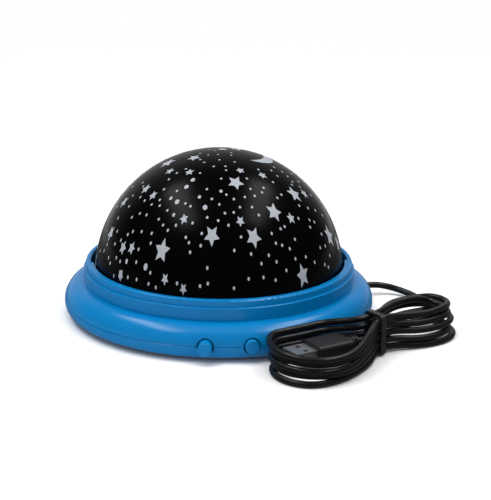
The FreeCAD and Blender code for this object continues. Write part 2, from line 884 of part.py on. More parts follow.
def biarc(start, start_way, end, end_way):
    span = end - start
    both = start_way + end_way
    a = both.dot(both) - 4
    b = span.dot(both)
    c = span.dot(span)
    leg = c / (2 * b) if abs(a) < near_zero else (b - math.sqrt(b * b - a * c)) / a
    first = start + start_way * leg
    last = end - end_way * leg
    joint = (first + last) * 0.5
    return [half_biarc(start, first, joint), half_biarc(joint, last, end)]


def hank_path():
    stations = hank_stations()
    start, way = stations[0]
    lead_in = start - way * (join_run * cord_r)
    edges = [Part.LineSegment(lead_in, start).toShape()]
    for (a, a_way), (b, b_way) in zip(stations, stations[1:]):
        edges += biarc(a, a_way, b, b_way)
    end, end_way = stations[-1]
    edges.append(Part.LineSegment(end, plug_neck()).toShape())
    return Part.Wire(edges), lead_in, way


def least_gap(path, radius):
    """Smallest gap between stretches of a tube that lie apart along its path."""
    step = radius
    points = path.discretize(Distance=step)
    skip = int(4 * radius * math.pi / step)
    cells = {}
    size = 4 * radius
    least = math.inf
    for i, p in enumerate(points):
        cells.setdefault((int(p.x // size), int(p.y // size), int(p.z // size)), []).append(i)
    for (cx, cy, cz), members in cells.items():
        near = []
        for dx in (-1, 0, 1):
            for dy in (-1, 0, 1):
                for dz in (-1, 0, 1):
                    near += cells.get((cx + dx, cy + dy, cz + dz), [])
        for i in members:
            for j in near:
                if j - i > skip:
                    gap = (points[i] - points[j]).Length - 2 * radius
                    least = min(least, gap)
    return least


def cord_hank():
    path, start, way = hank_path()
    section = Part.Wire(Part.Circle(start, way, cord_r).toShape())
    solid = path.makePipeShell([section], True, False)
    expected = math.pi * cord_r ** 2 * path.Length
    tight = min(e.Curve.Radius for e in path.Edges if hasattr(e.Curve, "Radius"))
    print("hank length", round(path.Length, 1), "tightest", round(tight, 1),
          "least gap", round(least_gap(path, cord_r), 2), "volume ratio", round(solid.Volume / expected, 4))
    return solid


def cord_lead():
    start = at(grommet_out, cord_angle, cord_z)
    stations = hank_stations()
    end, way = stations[0]
    end = end - way * (join_run * cord_r)
    points = [start, start + outward(cord_angle) * (exit_run * cord_r)]
    points += [at(base_r + beyond, angle, z) for beyond, angle, z in lead_points]
    points += [end - way * (ahead_run * cord_r), end]
    return along(points, cord_r, "cord lead")


def cord_inside():
    """The cord between its bushing and the control board, along the cover's floor."""
    start = at(grommet_in, cord_angle, cord_z)
    z = switch_z + cord_r - inner_end_low
    end = Vec(board_x / 2 + inner_end_gap, inner_end_back - board_mid, z)
    heights = (cord_z, cord_z, z, z)
    points = [start, start - outward(cord_angle) * inner_run]
    points += [at(base_r - inside, angle, h) for (inside, angle), h in zip(inner_points, heights)]
    points += [end + Vec(inner_end_run, 0, 0), end]
    return along(points, cord_r, "cord inside")


def waist_outline(grow):
    """Rounded rectangle round the waist's strands, larger all round by grow."""
    half = waist_v + cord_r + grow
    low = waist_lift - grow
    high = waist_lift + 2 * cord_r + hank_layer * (hank_loops - 1) + grow
    corner = tie_corner + grow
    side = half - corner
    edges = []
    places = []
    for v, z, turn in ((side, low + corner, -90), (side, high - corner, 0),
                       (-side, high - corner, 90), (-side, low + corner, 180)):
        ends = []
        for part in (0, 45, 90):
            a = math.radians(turn + part)
            ends.append(hank_point(0, v + corner * math.cos(a), z + corner * math.sin(a)))
        places.append(ends)
    for i, (first, middle, last) in enumerate(places):
        edges.append(Part.Arc(first, middle, last).toShape())
        edges.append(Part.LineSegment(last, places[(i + 1) % 4][0]).toShape())
    return Part.Face(Part.Wire(edges))


def hank_tie():
    """Twist tie: a thin strip drawn round the waist of the hank."""
    across = hank_axis(0) * tie_width
    strip = waist_outline(tie_gap + tie_t).extrude(across)
    strip = strip.cut(waist_outline(tie_gap).extrude(across))
    strip.translate(across * -0.5)
    return strip


def plug_frame(shape):
    """From the plug's own axes (x towards the shell, origin at the cord's end) to its place."""
    shape.rotate(Vec(0, 0, 0), UP, hank_turn + plug_turn)
    shape.translate(plug_neck())
    return shape


def plug_rod(radius, start, end):
    return rod(Vec(start, 0, 0), Vec(end, 0, 0), radius)


def plug_body():
    corner = Vec(relief_l, -plug_body_w / 2, -plug_body_h / 2)
    body = Part.makeBox(plug_body_l, plug_body_w, plug_body_h, corner)
    long_edges = [e for e in body.Edges if e.BoundBox.XLength > plug_body_l - edge_pick]
    body = body.makeFillet(plug_round, long_edges)
    relief = plug_rod(relief_w / 2, 0, relief_l + relief_in)
    core = plug_rod(relief_w / 2 - relief_rib, 0, relief_l)
    cuts = []
    for i in range(relief_grooves):
        x = relief_first + relief_pitch * i
        cuts.append(plug_rod(relief_w, x, x + relief_groove).cut(core))
    return plug_frame(joined([body, relief.cut(cuts)]))


def plug_shell():
    x0 = relief_l + plug_body_l
    outer = Part.makeBox(shell_l, shell_w, shell_h, Vec(x0, -shell_w / 2, -shell_h / 2))
    inner_w = shell_w - 2 * shell_t
    inner_h = shell_h - 2 * shell_t
    inner = Part.makeBox(shell_l, inner_w, inner_h, Vec(x0 + shell_t, -inner_w / 2, -inner_h / 2))
    shell = outer.cut(inner)
    windows = []
    for y in (-window_y, window_y):
        corner = Vec(x0 + window_from, y - window_w / 2, -shell_h)
        windows.append(Part.makeBox(window_l, window_w, shell_h * 2, corner))
    return plug_frame(shell.cut(windows))


def plug_tongue():
    x0 = relief_l + plug_body_l + shell_t
    low = -shell_h / 2 + shell_t
    length = shell_l - 2 * shell_t - tongue_short
    return plug_frame(Part.makeBox(length, tongue_w, tongue_t, Vec(x0, -tongue_w / 2, low)))


def plug_contacts():
    x0 = relief_l + plug_body_l + 2 * shell_t
    z = -shell_h / 2 + shell_t + tongue_t
    strips = []
    length = shell_l - contact_short
    for y in contact_places:
        strip = Part.makeBox(length, contact_w, contact_t, Vec(x0, y - contact_w / 2, z))
        strips.append(plug_frame(strip))
    return Part.makeCompound(strips)


def wire_ends(x):
    """A wire's end on the control board and the straight run past the board's edge."""
    z = switch_z + wire_r
    return [Vec(x, -board_back - wire_on_board, z), Vec(x, wire_run - board_back, z)]


def lamp_leads():
    """Flat bundle of wires from the control board up through the deck to the lamp's board."""
    wires = []
    for x, up_x in zip(lamp_wire_x, lamp_wire_up_x):
        points = wire_ends(x)
        points += [
            Vec(x * lamp_wire_narrow, -board_back / 2, lamp_wire_z),
            Vec(up_x, lamp_wire_turn_y, lamp_wire_turn_z),
            Vec(up_x, 0, deck_under),
            Vec(up_x, lamp_wire_back, lamp_top),
        ]
        wires.append(along(points, wire_r, "lamp lead"))
    return Part.makeCompound(wires)


def motor_leads():
    side = motor_x + motor_r
    wires = []
    for x, run, way in zip(motor_wire_x, motor_wire_end_run, (-1, 1)):
        points = wire_ends(x)
        points += [
            Vec(x - motor_wire_mid_in, -board_back / 2, motor_wire_z),
            Vec(x - motor_wire_near_in, motor_wire_near_y, motor_wire_near_z),
            Vec(side + run, way * motor_wire_run_y, motor_wire_end_z),
            Vec(side + motor_wire_end_gap, way * motor_wire_end_y, motor_wire_end_z),
        ]
        wires.append(along(points, wire_r, "motor lead"))
    return Part.makeCompound(wires)


def build():
    latched = button_travel
    nodes = {
        "bottom_cover": bottom_cover(),
        "base_housing": base_housing(),
        "rubber_ring": rubber_ring(),
        "chassis_deck": deck(),
        "turntable_ring_gear": turntable(),
        "dome_shell": dome_shell(),
        "drive_pinion": pinion(),
        "motor_shaft": motor_shaft(),
        "motor_gearbox": gearbox(),
        "motor_can": motor_can(),
        "motor_screws": motor_screws(),
        "lamp_pedestal": lamp_pedestal(),
        "lamp_screws": lamp_screws(),
        "led_board": led_board(),
        "control_board": control_board(),
        "controller_chip": controller_chip(),
        "board_screws": board_screws(),
        "housing_screws": self_tapping_screws(housing_boss_at, housing_boss_angles),
        "chassis_screws": self_tapping_screws(deck_boss_at, deck_boss_angles),
        "left_switch": switch_body(-button_angle),
        "right_switch": switch_body(button_angle),
        "left_plunger": switch_plunger(-button_angle, 0),
        "right_plunger": switch_plunger(button_angle, latched),
        "left_button": button(-button_angle, 0),
        "right_button": button(button_angle, latched),
        "cord_grommet": grommet(),
        "cord_inside": cord_inside(),
        "cord_lead": cord_lead(),
        "cord_hank": cord_hank(),
        "hank_tie": hank_tie(),
        "usb_plug_body": plug_body(),
        "usb_plug_shell": plug_shell(),
        "usb_plug_tongue": plug_tongue(),
        "usb_plug_contacts": plug_contacts(),
        "lamp_leads": lamp_leads(),
        "motor_leads": motor_leads(),
    }
    for colour, angle in led_angles:
        nodes["led_" + colour] = led(at(led_circle, angle, 0))
    return nodes


os.makedirs("parts", exist_ok=True)
for name, shape in build().items():
    shape.exportStep("parts/" + name + ".step")
    box = shape.BoundBox
    print(name, "valid" if shape.isValid() else "BAD", len(shape.Solids), "solids",
          round(shape.Volume, 1), "z", round(box.ZMin, 2), round(box.ZMax, 2))
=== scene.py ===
# %% [markdown]
# A star night light: a glossy blue base, a black dome printed with stars, and a lead tied
# in a hank. The solids come ready made from the CAD model, in metres, with the table at
# z = 0 and the dome's axis on Z. This notebook dresses them: a finish for every solid, the
# printed stars, the lead as a soft curve, and a small white studio.

# %% load the solids
import math
import random
import bpy
import bmesh
from mathutils import Matrix, Vector


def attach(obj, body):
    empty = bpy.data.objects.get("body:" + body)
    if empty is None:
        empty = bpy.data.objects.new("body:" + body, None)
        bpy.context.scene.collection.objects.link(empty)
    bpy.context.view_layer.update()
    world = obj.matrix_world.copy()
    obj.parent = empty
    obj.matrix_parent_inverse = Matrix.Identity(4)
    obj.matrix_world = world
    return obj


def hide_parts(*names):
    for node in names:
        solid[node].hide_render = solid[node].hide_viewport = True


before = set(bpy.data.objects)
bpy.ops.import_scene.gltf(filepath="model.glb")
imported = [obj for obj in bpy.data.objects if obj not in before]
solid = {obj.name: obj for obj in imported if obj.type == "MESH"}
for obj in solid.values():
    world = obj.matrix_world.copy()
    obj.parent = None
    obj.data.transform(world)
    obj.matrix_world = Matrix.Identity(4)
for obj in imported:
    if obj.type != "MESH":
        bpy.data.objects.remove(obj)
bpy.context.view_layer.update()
MM = 0.001
print(len(solid), "solids")

# %% [markdown]
# The camera stands about a metre away with a long lens, a little to the left of the two
# buttons, and looks down by 17 degrees. It is placed with a direction and a small roll.
# The photograph is 491 by 500, so the lens is stated against the taller side.

# %% camera
CAMERA_PLACE = Vector((-59.86, -951.45, 325.39)) * MM
LOOK_SIDE = 0.07673
LOOK_DOWN = 0.298
ROLL = 0.0129
LENS = 142.106
SENSOR = 36.0
PHOTO_W, PHOTO_H = 491, 500

lens = bpy.data.cameras.new("camera")
lens.sensor_fit = "VERTICAL"
lens.sensor_height = SENSOR
lens.lens = LENS
lens.clip_start = 0.05
lens.clip_end = 30.0
camera = bpy.data.objects.new("camera", lens)
bpy.context.collection.objects.link(camera)
camera.matrix_world = (
    Matrix.Translation(CAMERA_PLACE)
    @ Matrix.Rotation(-LOOK_SIDE, 4, "Z")
    @ Matrix.Rotation(math.pi / 2 - LOOK_DOWN, 4, "X")
    @ Matrix.Rotation(ROLL, 4, "Z")
)
bpy.context.scene.camera = camera
TO_WORLD = camera.matrix_world.copy()


def sight_line(px, py):
    """The unit direction in which a pixel of the photograph looks."""
    pixel = SENSOR / PHOTO_H
    across = (px - PHOTO_W / 2) * pixel
    down = (py - PHOTO_H / 2) * pixel
    return (TO_WORLD.to_3x3() @ Vector((across, -down, -LENS))).normalized()


# %% [markdown]
# The lead leaves the base through a rubber bushing, curves round on the table and is then
# wound into five loops, one above the other. A tie draws them in at the waist. The last
# half turn runs back through the waist to the plug, which lies in the left loop. One spline
# makes it all. Its control points are the corners of the route, so the curve is tangent to
# every run between them, as a springy lead is.

# %% route of the lead
CORD_R = 1.65
CORD_EXIT_ANGLE = 105.9
CORD_EXIT_R = 78.9
CORD_EXIT_Z = 5.6
# Straight stretches, in radii of the lead: at the exit, at the hank and at the plug
EXIT_RUN = 3
JOIN_RUN = 2
JOIN_LEAD_IN = 5
NECK_RUN = 2.2
LEAD_POINTS = (
    (87.5, 25.2, 4.6),
    (97.0, 21.8, 2.8),
    (104.8, 12.0, 1.65),
    (108.6, -2.0, 1.65),
)
HANK_MIDDLE = Vector((71.0, -65.6, 0.0))
HANK_TURN = math.radians(32.1)
HANK_LOOPS = 5
HANK_LAYER = 3.75
WAIST_LIFT = 1.2
WAIST_SIDE = 3.7
WAIST_LEAN = math.radians(15)
NEAR_SHOULDER = (-8, -8)
NEAR_SHOULDER_SCALE = 0.96
NEAR_SHOULDER_LIFT = 0.6
FAR_SHOULDER = (8, 8)
FAR_SHOULDER_LIFT = 1.3
SHOULDER_LEAN = math.radians(40)
# The last half turn, along and across the hank, and how far below the top it lies
INNER_FAR = (31, 12, 0)
INNER_END = (46, 6.5, 3.5)
INNER_NEAR = (29, -1.5, 5.8)
PLUG_NECK_AT = (-12, 0.1, 8.4)
PLUG_TURN = math.radians(209.4)

# Where each turn lies, from the lowest up: along and across the hank, and its height
RIGHT_ENDS = ((52.5, 9, 1.65), (48, 6, 5.0), (52, 9.5, 8.4), (49.5, 8, 11.8), (51, 10.5, 15.2))
RIGHT_NEAR = ((34, -8.5, 1.65), (31, -8, 5.1), (33, -6.8, 8.7), (31, -5.6, 12.3), (32, -4, 15.9))
LEFT_NEAR = (
    (-46, -22.4, 1.65), (-40, -22, 4.6), (-42, -23.8, 7.2), (-40, -21.8, 10.2), (-42, -23.8, 12.9),
)
LEFT_ENDS = (
    (-60.5, -6.5, 1.65), (-58.5, -3.5, 4.8), (-60, -4.5, 7.7), (-58, -3, 10.7), (-60, -4.5, 13.6),
)
LEFT_BACK = (
    (-45, 12.6, 1.65), (-44, 13.4, 5.0), (-44, 14.4, 8.3), (-44, 15.4, 11.6), (-44, 16.6, 14.7),
)
LEFT_FAR = (
    (-27, 11.4, 1.65), (-27, 11.9, 5.1), (-27, 12.6, 8.6), (-27, 13.4, 12.1), (-27, 14.4, 15.3),
)
RIGHT_FAR = ((38, 25, 3.6), (35, 20.5, 7.2), (37, 23.5, 10.7), (35, 21.5, 14.3))

ALONG = Vector((math.cos(HANK_TURN), math.sin(HANK_TURN), 0))
AWAY = Vector((-math.sin(HANK_TURN), math.cos(HANK_TURN), 0))
LEANING = ALONG * math.cos(WAIST_LEAN) + AWAY * math.sin(WAIST_LEAN)
SLANTED = ALONG * math.cos(SHOULDER_LEAN) + AWAY * math.sin(SHOULDER_LEAN)
PLUG_WAY = Vector((math.cos(PLUG_TURN), math.sin(PLUG_TURN), 0))


def on_hank(u, v, z):
    """A place given along and across the hank, in millimetres."""
    return HANK_MIDDLE + ALONG * u + AWAY * v + Vector((0, 0, z))


def hank_stations():
    """Places that the lead passes, each with its direction there."""
    places = []
    for loop in range(HANK_LOOPS):
        z = CORD_R + HANK_LAYER * loop
        places.append((on_hank(*RIGHT_ENDS[loop]), -AWAY))
        places.append((on_hank(*RIGHT_NEAR[loop]), -ALONG))
        places.append((on_hank(0, -WAIST_SIDE, z + WAIST_LIFT), -LEANING))
        shoulder_z = z * NEAR_SHOULDER_SCALE + NEAR_SHOULDER_LIFT
        places.append((on_hank(*NEAR_SHOULDER, shoulder_z), -SLANTED))
        places.append((on_hank(*LEFT_NEAR[loop]), -ALONG))
        places.append((on_hank(*LEFT_ENDS[loop]), AWAY))
        places.append((on_hank(*LEFT_BACK[loop]), ALONG))
        places.append((on_hank(*LEFT_FAR[loop]), ALONG))
        places.append((on_hank(0, WAIST_SIDE, z + WAIST_LIFT), LEANING))
        if loop < HANK_LOOPS - 1:
            places.append((on_hank(*FAR_SHOULDER, z + FAR_SHOULDER_LIFT), SLANTED))
            places.append((on_hank(*RIGHT_FAR[loop]), ALONG))
    top = CORD_R + HANK_LAYER * (HANK_LOOPS - 1) + WAIST_LIFT
    for (u, v, drop), way in ((INNER_FAR, ALONG), (INNER_END, -AWAY), (INNER_NEAR, -ALONG)):
        places.append((on_hank(u, v, top - drop), way))
    places.append((on_hank(0, 0, PLUG_NECK.z), -ALONG))
    places.append((PLUG_NECK - PLUG_WAY * NECK_RUN * CORD_R, PLUG_WAY))
    return places


def corners(start, way, end, end_way):
    """The two corners of the smooth bend between two places."""
    span = end - start
    both = way + end_way
    a = both.dot(both) - 4
    b = span.dot(both)
    c = span.dot(span)
    leg = c / (2 * b) if abs(a) < 1e-9 else (b - math.sqrt(b * b - a * c)) / a
    return [start + way * leg, end - end_way * leg]


exit_turn = math.radians(CORD_EXIT_ANGLE)
exit_way = Vector((math.sin(exit_turn), -math.cos(exit_turn), 0))
cord_exit = exit_way * CORD_EXIT_R + Vector((0, 0, CORD_EXIT_Z))
PLUG_NECK = on_hank(*PLUG_NECK_AT)
stations = hank_stations()
hank_start, hank_way = stations[0]
hank_start = hank_start - hank_way * JOIN_RUN * CORD_R
route = [cord_exit, cord_exit + exit_way * EXIT_RUN * CORD_R]
route += [Vector(p) for p in LEAD_POINTS]
route += [hank_start - hank_way * JOIN_LEAD_IN * CORD_R]
for (a, a_way), (b, b_way) in zip(stations, stations[1:]):
    route += corners(a, a_way, b, b_way)
route += [PLUG_NECK]
print(len(route), "points on the lead's route")

# %% lead
line = bpy.data.curves.new("lead", "CURVE")
line.dimensions = "3D"
spline = line.splines.new("NURBS")
spline.points.add(len(route) - 1)
for point, place in zip(spline.points, route):
    point.co = (*(place * MM), 1.0)
    point.radius = CORD_R * MM
spline.order_u = 3
spline.use_endpoint_u = True
spline.resolution_u = 10
line.bevel_depth = 1.0
line.bevel_resolution = 5
line.use_fill_caps = True
lead = bpy.data.objects.new("lead", line)
bpy.context.collection.objects.link(lead)
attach(lead, "base")
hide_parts("cord_lead", "cord_hank")

# %% [markdown]
# Finishes are node trees. Writing them as plain sums is easier to read than a list of
# links, so a small class wraps a socket and turns +, - and * into Math nodes. Another keeps
# one material's tree and makes any other node from its type, its settings and its inputs.

# %% shader sums
class Sum:
    """A number that varies over a surface."""

    def __init__(self, finish, socket):
        self.finish = finish
        self.socket = socket

    def math(self, operation, first, second=None):
        values = {0: first} if second is None else {0: first, 1: second}
        return self.finish.node("ShaderNodeMath", {"operation": operation}, values)[0]

    def __add__(self, other):
        return self.math("ADD", self, other)

    __radd__ = __add__

    def __mul__(self, other):
        return self.math("MULTIPLY", self, other)

    __rmul__ = __mul__

    def __rsub__(self, other):
        return self.math("SUBTRACT", other, self)

    def above(self, limit, soft):
        """0 below the limit, 1 above limit + soft, with a ramp between."""
        values = {0: self, 1: limit, 2: limit + soft, 3: 0.0, 4: 1.0}
        return self.finish.node("ShaderNodeMapRange", {"clamp": True}, values)[0]


class Finish:
    """One material: a Principled shader and the nodes that feed it."""

    def __init__(self, name, colour, roughness, **more):
        self.material = bpy.data.materials.new(name)
        self.material.use_nodes = True
        self.tree = self.material.node_tree
        self.shader = self.tree.nodes["Principled BSDF"]
        self.set("Base Color", colour)
        self.set("Roughness", roughness)
        for socket, value in more.items():
            self.set(socket.replace("_", " "), value)
        self.place = self.node("ShaderNodeTexCoord", {}, {})["Object"]

    def node(self, kind, settings, values):
        made = self.tree.nodes.new(kind)
        for name, value in settings.items():
            setattr(made, name, value)
        for key, value in values.items():
            self.feed(made.inputs[key], value)
        return Outputs(self, made)

    def feed(self, socket, value):
        if isinstance(value, Sum):
            self.tree.links.new(value.socket, socket)
        elif isinstance(value, tuple) and len(value) == 3 and socket.type == "RGBA":
            socket.default_value = (*value, 1.0)
        else:
            socket.default_value = value

    def set(self, name, value):
        self.feed(self.shader.inputs[name], value)

    def moved(self, scale=(1, 1, 1), turn=(0, 0, 0)):
        values = {"Vector": self.place, "Scale": scale, "Rotation": turn}
        return self.node("ShaderNodeMapping", {}, values)["Vector"]

    def noise(self, size_mm, detail=2.0, place=None):
        values = {"Vector": place or self.place, "Scale": 1000.0 / size_mm, "Detail": detail}
        return self.node("ShaderNodeTexNoise", {}, values)["Fac"]

    def specks(self, size_mm, place=None):
        values = {"Vector": place or self.place, "Scale": 1000.0 / size_mm}
        return self.node("ShaderNodeTexVoronoi", {}, values)["Distance"]

    def blend(self, amount, first, second):
        values = {0: amount, 6: first, 7: second}
        return self.node("ShaderNodeMix", {"data_type": "RGBA"}, values)[2]

    def bump(self, height, depth_mm, strength=1.0):
        values = {"Height": height, "Distance": depth_mm * MM, "Strength": strength}
        self.set("Normal", self.node("ShaderNodeBump", {}, values)["Normal"])


class Outputs:
    """The outputs of a node, by name or number, as sums."""

    def __init__(self, finish, made):
        self.finish = finish
        self.made = made

    def __getitem__(self, key):
        return Sum(self.finish, self.made.outputs[key])


def dress(finish, *nodes):
    """Gives solids a finish."""
    for name in nodes:
        for slot in solid[name].material_slots:
            slot.material = finish.material


# %% [markdown]
# The base is moulded in bright blue ABS and comes off a polished tool. Real mouldings
# aren't perfect mirrors: a faint waviness bends the highlights, fine dust and hairline
# scuffs dull them here and there. All of it is small next to the colour.

# %% blue plastic
blue = Finish("blue_plastic", (0.0, 0.17, 0.44), 0.2, Specular_IOR_Level=0.35)
wave = blue.noise(9.0, 1.0)
dust = blue.noise(0.6, 3.0)
scuff = blue.noise(1.6, 4.0, blue.moved((1, 14, 6), (0.3, 0.2, 0.7)))
blue.set("Base Color", blue.blend(blue.noise(35.0), (0.0, 0.165, 0.425), (0.0, 0.18, 0.455)))
blue.set("Roughness", 0.2 + 0.05 * dust + 0.12 * scuff.above(0.66, 0.06))
blue.bump(wave * 0.7 + dust * 0.06, 0.03, 0.5)
dress(blue, "base_housing", "bottom_cover", "left_button", "right_button")

# %% [markdown]
# The dome is clear plastic with a glossy black print on it, so its own gloss stays very
# even. Only a slight orange peel and a few dust specks show in the reflections.

# %% black dome
black_film = Finish("dome_film", (0.001, 0.001, 0.0012), 0.24, Specular_IOR_Level=0.08)
peel = black_film.noise(3.5, 2.0)
speck = 1 - black_film.specks(2.4)
black_film.set("Roughness", 0.22 + 0.05 * black_film.noise(14.0) + 0.2 * speck.above(0.97, 0.02))
dusty = black_film.blend(speck.above(0.965, 0.03), (0.001, 0.001, 0.0012), (0.012, 0.012, 0.013))
black_film.set("Base Color", dusty)
black_film.bump(peel, 0.012, 0.5)
dress(black_film, "dome_shell")

# %% [markdown]
# The stars are windows in the print, pale with the milky plastic behind them. Each one is
# a thin flat patch laid on the dome. A star starts as a circle of ten points, with every
# second point drawn in. Its points are then pushed out onto the sphere, a hair above it.
# Stars seen in the photograph are placed by their pixels, and the far side is scattered.

# %% printed stars
DOME_R = 62.6
DOME_MIDDLE = Vector((0, 0, 21.5))
PRINT_LIFT = 0.12
STAR_WAIST = 0.49
DOT_CORNERS = 10
# How much taller a mark is drawn out: the factor level with the dome's centre, and what it
# loses for each degree above that
STRETCH_LOW = 1.75
STRETCH_LOSS = 0.01


def on_dome(px, py):
    """Where a pixel's sight line first meets the dome, as a direction from its middle."""
    way = sight_line(px, py)
    start = CAMERA_PLACE / MM - DOME_MIDDLE
    along = start.dot(way)
    inside = along * along - start.dot(start) + DOME_R * DOME_R
    if inside < 0:
        return None
    return (start + way * (-along - math.sqrt(inside))).normalized()


def tangent_spot(out):
    """Axes on the dome: x along its parallel, y up its meridian, z outwards."""
    up = Vector((0, 0, 1)) if abs(out.z) < 0.98 else Vector((0, 1, 0))
    side = up.cross(out).normalized()
    axes = Matrix((side, out.cross(side), out)).transposed().to_4x4()
    return Matrix.Translation(DOME_MIDDLE + out * DOME_R) @ axes


def stretch(out):
    """The sheet was printed flat and drawn over a mould, so low marks are drawn out taller."""
    rise = math.degrees(math.asin(max(-1.0, min(1.0, out.z))))
    return STRETCH_LOW - STRETCH_LOSS * rise


def press_on(made, spot):
    for v in made:
        v.co = spot @ v.co
        v.co = DOME_MIDDLE + (v.co - DOME_MIDDLE).normalized() * (DOME_R + PRINT_LIFT)


def lay(print_mesh, out, size, points=0, tip=0.0, waist=STAR_WAIST):
    """A star with one tip at an angle, or a round dot where points is 0."""
    count = 2 * points if points else DOT_CORNERS
    made = bmesh.ops.create_circle(
        print_mesh, cap_ends=True, cap_tris=True, segments=count, radius=size,
    )["verts"]
    rim = [v for v in made if v.co.length > size * 0.5]
    rim.sort(key=lambda v: math.atan2(v.co.y, v.co.x))
    if points:
        for v in rim[1::2]:
            v.co = v.co * waist
        first = math.atan2(rim[0].co.y, rim[0].co.x)
        turn = Matrix.Rotation(math.radians(tip) - first, 3, "Z")
        bmesh.ops.rotate(print_mesh, verts=made, matrix=turn)
    bmesh.ops.scale(print_mesh, verts=made, vec=(1, stretch(out), 1))
    press_on(made, tangent_spot(out))


def crescent(print_mesh, out, radius, bite_away, bite_r, tip):
    """A grid bent between the outer arc and the arc of the circle that bites into it."""
    verts = bmesh.ops.create_grid(print_mesh, x_segments=28, y_segments=4, size=1.0)["verts"]
    outer_cos = (radius**2 + bite_away**2 - bite_r**2) / (2 * radius * bite_away)
    inner_cos = (bite_away**2 + bite_r**2 - radius**2) / (2 * bite_away * bite_r)
    outer_half = math.pi - math.acos(outer_cos)
    inner_half = math.acos(inner_cos)
    for v in verts:
        a = math.pi + outer_half * v.co.x
        b = math.pi + inner_half * v.co.x
        outer = Vector((radius * math.cos(a), radius * math.sin(a), 0))
        inner = Vector((bite_away + bite_r * math.cos(b), bite_r * math.sin(b), 0))
        v.co = outer.lerp(inner, (v.co.y + 1) / 2)
    turn = Matrix.Rotation(math.radians(tip), 3, "Z")
    bmesh.ops.rotate(print_mesh, verts=verts, matrix=turn)
    bmesh.ops.remove_doubles(print_mesh, verts=verts, dist=0.001)
    press_on([v for v in verts if v.is_valid], tangent_spot(out))


# %% [markdown]
# The marks that the photograph shows are listed by pixel, with a size in millimetres and,
# for a star, the angle of one of its tips.

# %% marks seen in the photograph
STARS = (
    (211.9, 235.7, 3.9, -88), (162.1, 250.6, 4.2, 88), (184.1, 219.1, 2.2, -105),
    (183.3, 289.0, 1.9, -90), (165.0, 279.2, 2.0, -90), (123.0, 247.7, 2.5, 75),
    (131.7, 248.1, 2.3, 75), (111.0, 233.2, 3.0, 60), (173.7, 215.0, 1.1, -40),
    (240.3, 221.2, 2.2, -97), (253.6, 237.4, 3.95, -85), (302.9, 275.5, 3.9, 100),
    (290.9, 218.3, 2.4, -65), (329.0, 235.7, 4.1, -75), (273.9, 212.1, 4.1, -80),
    (337.3, 243.2, 3.6, -80), (235.7, 182.7, 4.2, -90), (294.1, 194.2, 4.1, -75),
    (304.1, 193.8, 2.4, -65), (240.3, 170.6, 2.3, 95), (262.5, 175.5, 2.4, -60),
    (189.5, 172.3, 2.4, -100), (169.8, 171.3, 2.4, -105), (194.0, 157.9, 3.5, 30),
    (167.9, 163.0, 4.2, 215), (153.2, 195.5, 2.4, 50), (146.0, 189.0, 2.7, 45),
    (124.2, 202.2, 2.8, 60), (236.7, 149.2, 4.3, 0), (222.4, 149.4, 3.0, 20),
)
LARGE_DOTS = ((192.9, 180.0), (186.5, 187.0), (177.2, 201.9), (205.1, 207.5), (145.7, 266.9))
MEDIUM_DOTS = ((171.0, 198.3), (221.0, 191.3), (199.5, 197.1), (126.7, 261.4))
